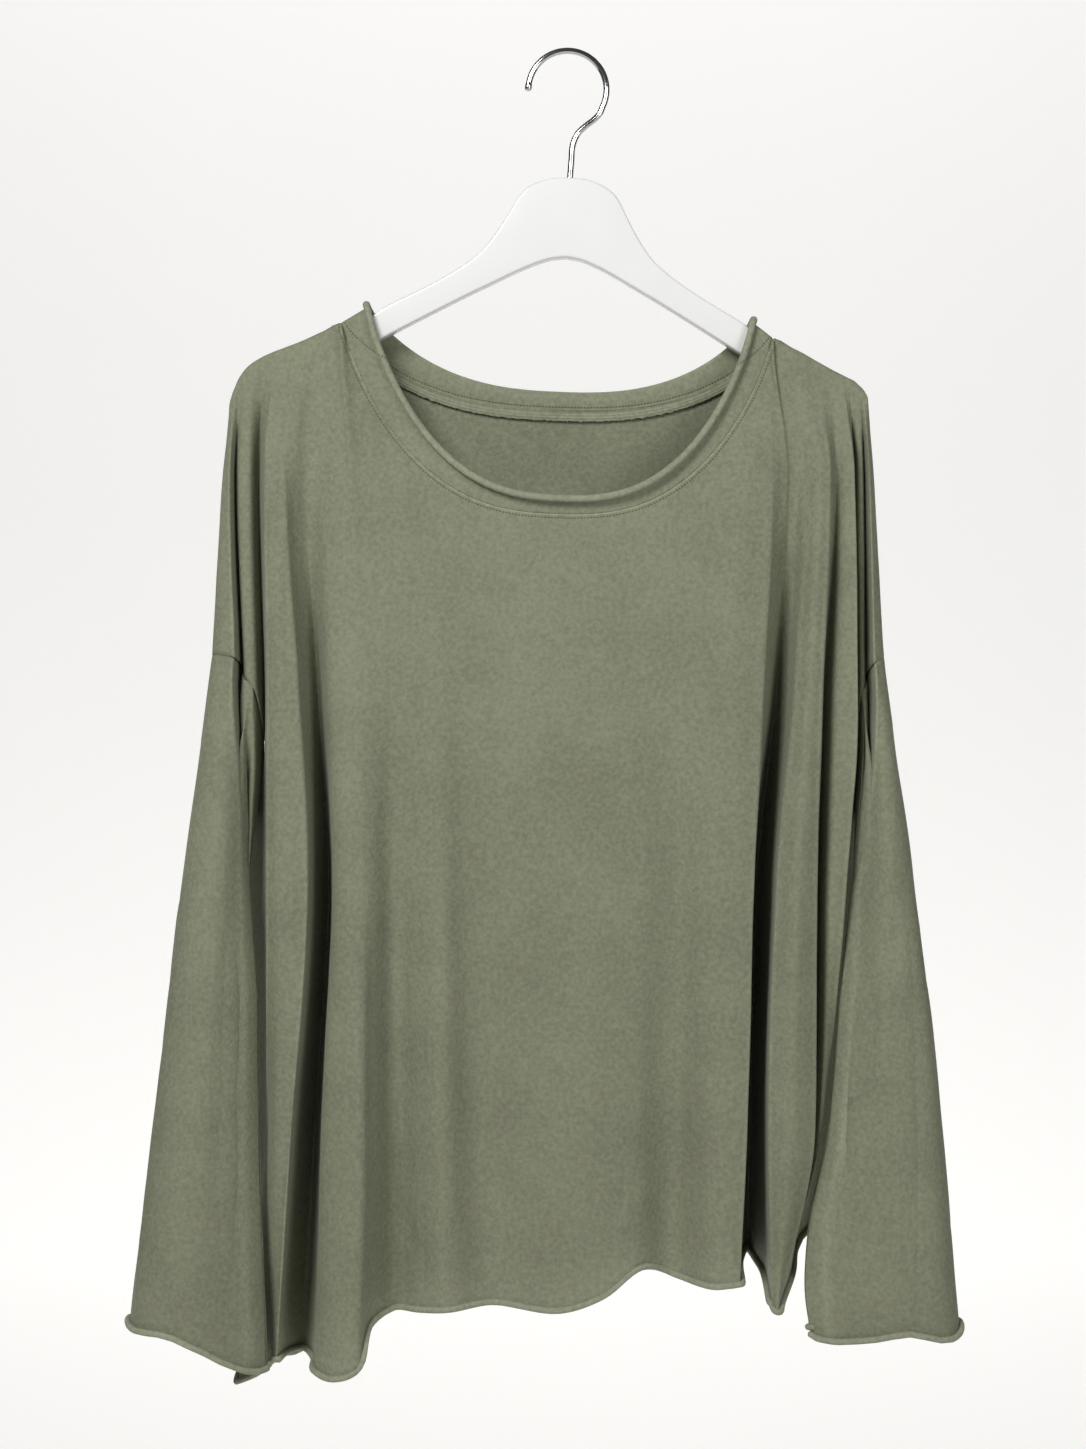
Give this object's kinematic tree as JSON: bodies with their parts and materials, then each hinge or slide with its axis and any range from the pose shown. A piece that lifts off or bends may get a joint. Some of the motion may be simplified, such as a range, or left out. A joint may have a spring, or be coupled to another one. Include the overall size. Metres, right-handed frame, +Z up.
{
  "type": "long-sleeved jersey top on a hanger",
  "caption": "Loose drop-shoulder jersey top with a scoop neck and rolled raw edges, hanging in folds from a flat hanger with a wire hook.",
  "frame": {"origin": "inner top of the hook, where a rail or a peg carries the hanger", "axes": "+Z up, +X to the right as the front is seen, -Y out of the garment's front"},
  "size_m": [0.5827, 0.1355, 0.9636],
  "materials": {
    "jersey": "matt brushed cotton jersey, garment dyed sage green",
    "hanger_plastic": "glossy moulded white",
    "hook_chrome": "polished chrome plate"
  },
  "bodies": {
    "root": {"front": "jersey", "back": "jersey", "sleeve_left": "jersey", "sleeve_right": "jersey", "neckband": "jersey", "hanger": "hanger_plastic", "hook": "hook_chrome"}
  },
  "joints": []
}
